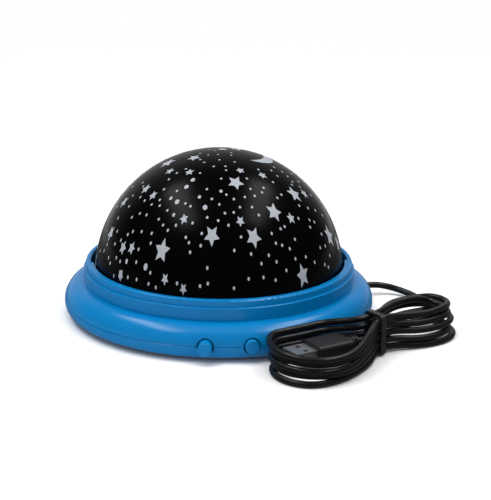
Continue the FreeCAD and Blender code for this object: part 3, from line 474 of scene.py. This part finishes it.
SMALL_DOTS = (
    (100.5, 250.8), (104.3, 250.8), (107.4, 244.7), (108.7, 257.8), (110.3, 263.1), (114.0, 275.8),
    (115.1, 244.0), (116.5, 257.8), (117.4, 231.4), (117.6, 207.0), (118.2, 218.1), (120.3, 261.4),
    (121.1, 240.3), (128.0, 234.6), (128.0, 277.3), (129.2, 206.4), (132.1, 217.3), (132.8, 187.1),
    (133.1, 231.6), (133.1, 195.7), (136.4, 262.2), (136.8, 279.5), (138.7, 249.3), (140.0, 213.6),
    (140.5, 197.3), (141.8, 231.6), (142.8, 182.9), (143.4, 186.6), (144.8, 200.8), (146.7, 215.0),
    (148.6, 283.8), (150.4, 272.8), (150.9, 243.2), (151.8, 233.4), (151.8, 204.7), (155.9, 287.4),
    (158.8, 219.3), (159.8, 205.7), (159.9, 200.1), (163.2, 225.1), (164.0, 189.4), (167.5, 210.4),
    (167.9, 230.3), (169.0, 179.5), (176.0, 225.3), (176.8, 173.2), (177.1, 283.4), (177.1, 191.1),
    (185.5, 203.5), (185.9, 237.4), (186.0, 169.0), (189.0, 242.7), (190.1, 252.3), (190.5, 206.3),
    (192.6, 223.1), (200.1, 286.1), (200.1, 153.5), (200.1, 173.2), (200.3, 159.8), (200.7, 245.7),
    (201.8, 233.5), (204.3, 162.5), (206.9, 189.3), (207.2, 217.5), (207.3, 267.9), (207.8, 283.5),
    (208.3, 155.1), (209.4, 150.1), (211.9, 199.0), (213.8, 166.6), (214.9, 150.8), (217.9, 154.7),
    (218.2, 220.6), (219.4, 204.5), (219.5, 160.0), (221.2, 178.8), (225.0, 213.3), (225.6, 166.4),
    (226.1, 170.4), (226.3, 194.8), (228.5, 225.3), (231.2, 152.8), (231.2, 155.3), (233.7, 212.5),
    (233.9, 199.3), (234.0, 288.2), (234.3, 250.5), (234.6, 162.1), (239.9, 207.3), (241.0, 237.0),
    (244.8, 197.1), (246.8, 178.6), (248.7, 278.9), (250.4, 189.0), (251.0, 254.0), (252.0, 207.2),
    (254.6, 196.1), (258.2, 169.7), (258.8, 215.2), (261.4, 263.6), (261.9, 192.6), (263.4, 277.5),
    (263.5, 188.0), (268.7, 255.4), (271.2, 170.6), (271.6, 233.5), (273.0, 182.3), (274.0, 167.4),
    (275.5, 280.1), (275.8, 243.2), (276.5, 261.8), (277.3, 176.1), (277.3, 198.0), (280.5, 228.9),
    (281.2, 194.8), (282.0, 245.3), (282.0, 172.0), (284.5, 226.6), (286.3, 270.4), (287.4, 176.6),
    (289.6, 248.7), (291.3, 174.2), (291.8, 184.9), (292.2, 181.8), (294.8, 239.3), (295.3, 258.9),
    (298.2, 181.7), (298.3, 218.5), (299.0, 205.7), (299.6, 186.9), (305.7, 256.9), (307.8, 208.1),
    (309.3, 220.0), (310.0, 227.2), (310.7, 195.2), (314.1, 222.1), (314.5, 262.3), (315.1, 210.4),
    (320.1, 247.6), (321.2, 203.1), (321.3, 234.2), (322.0, 215.4), (324.6, 264.5), (325.0, 246.0),
    (328.3, 267.2), (329.5, 255.6),
)
SMALL_R, MEDIUM_R, LARGE_R = 0.6, 0.84, 1.15
STAR_POINTS = 5
CROPPED_PLACE = (120.7, 275.1)
CROPPED_R = 1.9
CROPPED_TIP = 60
CROPPED_WAIST = 0.72
MOON_PLACE = (261.0, 159.0)
MOON_SHIFT = Vector((3.9, 4.9, 0))
MOON_R = 11.0
MOON_BITE_AWAY = 9.2
MOON_BITE_R = 15.0
MOON_TIP = 72.0
MOON_ROOM = 9.0
printed = bmesh.new()
taken = []


def mark(out, size, points=0, tip=0.0):
    lay(printed, out, size, points, tip)
    taken.append((out, size))


for px, py, size, tip in STARS:
    mark(on_dome(px, py), size, STAR_POINTS, tip)
for places, size in ((LARGE_DOTS, LARGE_R), (MEDIUM_DOTS, MEDIUM_R), (SMALL_DOTS, SMALL_R)):
    for px, py in places:
        mark(on_dome(px, py), size)
cropped = on_dome(*CROPPED_PLACE)
lay(printed, cropped, CROPPED_R, STAR_POINTS, CROPPED_TIP, CROPPED_WAIST)
taken.append((cropped, CROPPED_R))
moon_spot = on_dome(*MOON_PLACE)
moon_axes = tangent_spot(moon_spot).to_3x3()
moon = (moon_spot * DOME_R + moon_axes @ MOON_SHIFT).normalized()
crescent(printed, moon, MOON_R, MOON_BITE_AWAY, MOON_BITE_R, MOON_TIP)
taken.append((moon, MOON_ROOM))
print(len(taken), "marks placed by pixel")

# %% [markdown]
# The rest of the dome carries on in the same way, with marks scattered by a seeded draw.
# A mark is kept where it has room, away from the camera's side, down to the rim. Each call
# of scatter gives a count, the least and greatest size, the points and the room around it.

# %% marks on the far side
FAR_SIDE_LIMIT = 0.16
RISE_FROM, RISE_TO = 0.05, 0.995
TRIES_EACH = 60
STAR_TURN = 360 / STAR_POINTS
draw = random.Random(7)
toward_camera = (CAMERA_PLACE / MM - DOME_MIDDLE).normalized()


def scatter(count, size_from, size_to, points, room):
    made = 0
    for _ in range(count * TRIES_EACH):
        turn = draw.uniform(0, 2 * math.pi)
        rise = draw.uniform(RISE_FROM, RISE_TO)
        flat = math.sqrt(1 - rise * rise)
        out = Vector((flat * math.cos(turn), flat * math.sin(turn), rise))
        size = draw.uniform(size_from, size_to)
        hidden = out.dot(toward_camera) < FAR_SIDE_LIMIT
        clear = all(
            (out - other).length * DOME_R > room + size + reach for other, reach in taken
        )
        if hidden and clear:
            mark(out, size, points, draw.uniform(0, STAR_TURN) if points else 0.0)
            made += 1
        if made == count:
            return


scatter(12, 3.8, 4.2, STAR_POINTS, 3.5)
scatter(24, 2.1, 2.8, STAR_POINTS, 2.0)
scatter(8, LARGE_R, LARGE_R, 0, 1.5)
scatter(190, SMALL_R * 0.85, SMALL_R * 1.15, 0, 1.5)
print(len(taken), "marks in all")


def metres(mesh, name):
    """Turns a bmesh drawn in millimetres into an object at the origin."""
    bmesh.ops.scale(mesh, verts=mesh.verts, vec=(MM, MM, MM))
    data = bpy.data.meshes.new(name)
    mesh.to_mesh(data)
    mesh.free()
    made = bpy.data.objects.new(name, data)
    bpy.context.collection.objects.link(made)
    return made


bmesh.ops.recalc_face_normals(printed, faces=printed.faces)
for face in printed.faces:
    if face.normal.dot(face.calc_center_median() - DOME_MIDDLE) < 0:
        face.normal_flip()
star_print = metres(printed, "dome_stars")
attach(star_print, "dome")
print_ink = Finish("star_windows", (0.33, 0.35, 0.39), 0.32, Specular_IOR_Level=0.2)
ink_grain = print_ink.noise(0.9, 3.0)
print_ink.set("Base Color", print_ink.blend(ink_grain, (0.3, 0.32, 0.355), (0.36, 0.385, 0.425)))
print_ink.set("Roughness", 0.28 + 0.1 * print_ink.noise(2.0))
star_print.data.materials.append(print_ink.material)

# %% [markdown]
# The lead is satin black PVC. Its surface is nearly plain, with a very fine mould texture
# and faint rub marks, so the highlight breaks up softly along each strand.

# %% black cord, plug and tie
cord_black = Finish("cord_black", (0.004, 0.004, 0.0045), 0.34)
grain = cord_black.noise(0.35, 3.0)
rub = cord_black.noise(6.0, 3.0)
cord_black.set("Base Color", cord_black.blend(rub, (0.003, 0.003, 0.0035), (0.006, 0.006, 0.0065)))
cord_black.set("Roughness", 0.28 + 0.08 * grain + 0.06 * rub)
cord_black.bump(grain, 0.02, 0.4)
lead.data.materials.append(cord_black.material)
dress(cord_black, "cord_inside", "cord_lead", "cord_hank")

plug_black = Finish("plug_black", (0.01, 0.01, 0.011), 0.45)
spark = plug_black.specks(0.35)
plug_cloud = plug_black.noise(4.0)
plug_black.set("Base Color", plug_black.blend(plug_cloud, (0.008, 0.008, 0.009), (0.014, 0.014, 0.015)))
plug_black.set("Roughness", 0.4 + 0.14 * spark)
plug_black.bump(spark, 0.03, 0.5)
dress(plug_black, "usb_plug_body")

tie_black = Finish("tie_black", (0.01, 0.01, 0.01), 0.35)
crinkle = tie_black.noise(1.2, 2.0, tie_black.moved((1, 1, 3)))
tie_black.set("Roughness", 0.28 + 0.2 * crinkle)
tie_black.set("Base Color", tie_black.blend(crinkle, (0.007, 0.007, 0.007), (0.016, 0.016, 0.017)))
tie_black.bump(crinkle, 0.12, 0.6)
dress(tie_black, "hank_tie")

rubber = Finish("black_rubber", (0.02, 0.02, 0.021), 0.7)
bloom = rubber.noise(2.5, 4.0)
rubber.set("Base Color", rubber.blend(bloom, (0.012, 0.012, 0.013), (0.03, 0.03, 0.031)))
rubber.set("Roughness", 0.6 + 0.2 * bloom)
rubber.bump(rubber.noise(0.5, 2.0), 0.04, 0.5)
dress(rubber, "rubber_ring", "cord_grommet")

# %% [markdown]
# The plug's shell is bent from bright nickel-plated steel, with faint lines along the way
# it slides. The contacts are flashed with gold. The tongue is white plastic.

# %% plug metal
nickel = Finish("plug_metal", (0.72, 0.72, 0.73), 0.18, Metallic=1.0)
slide = nickel.noise(0.25, 3.0, nickel.moved((1, 1, 1), (0, 0, -PLUG_TURN)))
nickel.set("Roughness", 0.32 + 0.14 * slide)
nickel.set("Base Color", nickel.blend(slide, (0.66, 0.66, 0.67), (0.8, 0.8, 0.8)))
dress(nickel, "usb_plug_shell")

gold = Finish("contact_gold", (0.9, 0.66, 0.28), 0.22, Metallic=1.0)
gold.set("Roughness", 0.18 + 0.1 * gold.noise(0.3))
dress(gold, "usb_plug_contacts")

# %% inner metal and plastics
steel = Finish("steel", (0.55, 0.55, 0.56), 0.3, Metallic=1.0)
brushed = steel.noise(0.4, 4.0, steel.moved((1, 1, 12)))
steel.set("Base Color", steel.blend(brushed, (0.48, 0.48, 0.49), (0.62, 0.62, 0.63)))
steel.set("Roughness", 0.24 + 0.2 * brushed)
dress(steel, "motor_shaft", "motor_can", "motor_screws", "lamp_screws", "board_screws",
      "housing_screws", "chassis_screws")

white = Finish("white_plastic", (0.82, 0.82, 0.8), 0.4)
cloud = white.noise(12.0, 2.0)
white.set("Base Color", white.blend(cloud, (0.78, 0.78, 0.76), (0.85, 0.85, 0.84)))
white.set("Roughness", 0.34 + 0.14 * white.noise(0.8, 3.0))
white.bump(white.noise(0.8, 3.0), 0.02, 0.4)
dress(white, "chassis_deck", "turntable_ring_gear", "lamp_pedestal", "drive_pinion",
      "left_plunger", "right_plunger", "usb_plug_tongue")

nylon = Finish("black_plastic", (0.02, 0.02, 0.021), 0.5)
nylon_grain = nylon.specks(0.5)
nylon.set("Base Color", nylon.blend(nylon_grain, (0.014, 0.014, 0.015), (0.028, 0.028, 0.029)))
nylon.set("Roughness", 0.42 + 0.2 * nylon_grain)
nylon.bump(nylon_grain, 0.02, 0.4)
dress(nylon, "motor_gearbox", "left_switch", "right_switch", "controller_chip")

board = Finish("board_green", (0.02, 0.16, 0.06), 0.32, Coat_Weight=0.4)
track = board.specks(2.2, board.moved((1, 0.25, 1)))
lacquer = track.above(0.32, 0.04)
board.set("Base Color", board.blend(lacquer, (0.03, 0.24, 0.09), (0.012, 0.12, 0.045)))
board.set("Roughness", 0.28 + 0.12 * board.noise(1.0))
board.bump(track.above(0.32, 0.04), 0.03, 0.6)
dress(board, "led_board", "control_board")

clear = Finish("led_clear", (0.85, 0.87, 0.9), 0.08, Coat_Weight=0.5)
clear.set("Roughness", 0.06 + 0.08 * clear.noise(1.5))
clear.set("Base Color", clear.blend(clear.noise(2.5), (0.78, 0.81, 0.85), (0.9, 0.92, 0.95)))
dress(clear, "led_white", "led_red", "led_green", "led_blue")

wire_red = Finish("wire_red", (0.45, 0.02, 0.015), 0.35)
wire_red.set("Roughness", 0.3 + 0.12 * wire_red.noise(0.8))
wire_cloud = wire_red.noise(3.0)
wire_red.set("Base Color", wire_red.blend(wire_cloud, (0.4, 0.015, 0.012), (0.5, 0.028, 0.02)))
dress(wire_red, "lamp_leads", "motor_leads")

# %% [markdown]
# The studio is a white floor in soft light. The floor keeps the object's shadow and fades
# to pure white farther out. The world is white for the camera. Glossy surfaces see a dark
# room with a bright far end and a dim floor instead, so that black stays black and the
# edges turn grey.
# Two long softboxes overhead draw the streaks on the blue shoulder, and a third, which no
# reflection shows, lights the object from above.

# %% studio
FLOOR_HALF = 2500.0
FLOOR_WHITE_FROM, FLOOR_WHITE_AT = 0.2, 0.7
FLOOR_IN_GLOSS = 0.15
GLOSS_DIM_FROM, GLOSS_DIM_FADE = -0.5, 0.3
floor_mesh = bmesh.new()
bmesh.ops.create_grid(floor_mesh, x_segments=1, y_segments=1, size=FLOOR_HALF)
floor = metres(floor_mesh, "studio_floor")
paper = Finish("studio_paper", (0.88, 0.88, 0.88), 0.9, Specular_IOR_Level=0.0)
floor.data.materials.append(paper.material)
ray = paper.node("ShaderNodeLightPath", {}, {})
distance = paper.node("ShaderNodeVectorMath", {"operation": "LENGTH"}, {0: paper.place})["Value"]
far_out = distance.above(FLOOR_WHITE_FROM, FLOOR_WHITE_AT - FLOOR_WHITE_FROM)
white_paper = paper.node("ShaderNodeEmission", {}, {"Strength": 1.0})["Emission"]
dim_paper = paper.node("ShaderNodeEmission", {}, {"Strength": FLOOR_IN_GLOSS})["Emission"]
plain_paper = Sum(paper, paper.shader.outputs["BSDF"])
white_out = far_out * ray["Is Camera Ray"]
faded = paper.node("ShaderNodeMixShader", {}, {0: white_out, 1: plain_paper, 2: white_paper})
near_side = paper.node("ShaderNodeSeparateXYZ", {}, {0: paper.place})["Y"] * -1
in_gloss = near_side.above(GLOSS_DIM_FROM, GLOSS_DIM_FADE) * ray["Is Glossy Ray"]
gloss = paper.node("ShaderNodeMixShader", {}, {0: in_gloss, 1: faded["Shader"], 2: dim_paper})
paper_out = paper.tree.nodes["Material Output"]
paper.tree.links.new(gloss["Shader"].socket, paper_out.inputs["Surface"])

WORLD_LIGHT = 0.62
GLOSS_ROOM = 0.01
GLOSS_FAR_END = 0.6
RAMP_FROM, RAMP_TO = 0.5, 0.95
# Where the two long softboxes hang, in metres. Each box has a width, a height and a power
LONG_BOX_SIDE = 0.5
LONG_BOX_HEIGHT = 0.93
LONG_BOX = (0.9, 0.25, 4.0)
TOP_BOX = (0.9, 0.7, 6.0)
world = bpy.data.worlds.new("studio")
bpy.context.scene.world = world
world.use_nodes = True
tree = world.node_tree
light = tree.nodes["Background"]
light.inputs["Color"].default_value = (1, 1, 1, 1)
light.inputs["Strength"].default_value = WORLD_LIGHT
seen = tree.nodes.new("ShaderNodeBackground")
seen.inputs["Color"].default_value = (1, 1, 1, 1)
seen.inputs["Strength"].default_value = 1.0
mirrored = tree.nodes.new("ShaderNodeBackground")
way = tree.nodes.new("ShaderNodeTexCoord")
split = tree.nodes.new("ShaderNodeSeparateXYZ")
ramp = tree.nodes.new("ShaderNodeMapRange")
ramp.inputs["From Min"].default_value = RAMP_FROM
ramp.inputs["From Max"].default_value = RAMP_TO
ramp.inputs["To Min"].default_value = GLOSS_ROOM
ramp.inputs["To Max"].default_value = GLOSS_FAR_END
path = tree.nodes.new("ShaderNodeLightPath")
for_gloss = tree.nodes.new("ShaderNodeMixShader")
for_camera = tree.nodes.new("ShaderNodeMixShader")
tree.links.new(way.outputs["Generated"], split.inputs[0])
tree.links.new(split.outputs["Y"], ramp.inputs["Value"])
tree.links.new(ramp.outputs["Result"], mirrored.inputs["Strength"])
tree.links.new(path.outputs["Is Glossy Ray"], for_gloss.inputs[0])
tree.links.new(light.outputs[0], for_gloss.inputs[1])
tree.links.new(mirrored.outputs[0], for_gloss.inputs[2])
tree.links.new(path.outputs["Is Camera Ray"], for_camera.inputs[0])
tree.links.new(for_gloss.outputs[0], for_camera.inputs[1])
tree.links.new(seen.outputs[0], for_camera.inputs[2])
tree.links.new(for_camera.outputs[0], tree.nodes["World Output"].inputs["Surface"])


def softbox(name, place, width, height, power):
    """A rectangle of light that faces the origin, its long side along the table's depth."""
    data = bpy.data.lights.new(name, "AREA")
    data.shape = "RECTANGLE"
    data.size = width
    data.size_y = height
    data.energy = power
    made = bpy.data.objects.new(name, data)
    bpy.context.collection.objects.link(made)
    made.location = place
    down = Vector(place).normalized()
    long_way = (Vector((0, 1, 0)) - down * down.y).normalized()
    made.rotation_euler = Matrix((long_way, down.cross(long_way), down)).transposed().to_euler()
    return made


softbox("left_box", (-LONG_BOX_SIDE, 0.0, LONG_BOX_HEIGHT), *LONG_BOX)
softbox("right_box", (LONG_BOX_SIDE, 0.0, LONG_BOX_HEIGHT), *LONG_BOX)
top_box = softbox("top_box", (-0.1, -0.1, 1.2), *TOP_BOX)
top_box.visible_glossy = False
bpy.context.scene.view_settings.view_transform = "Standard"

# %% finish
bpy.context.view_layer.update()
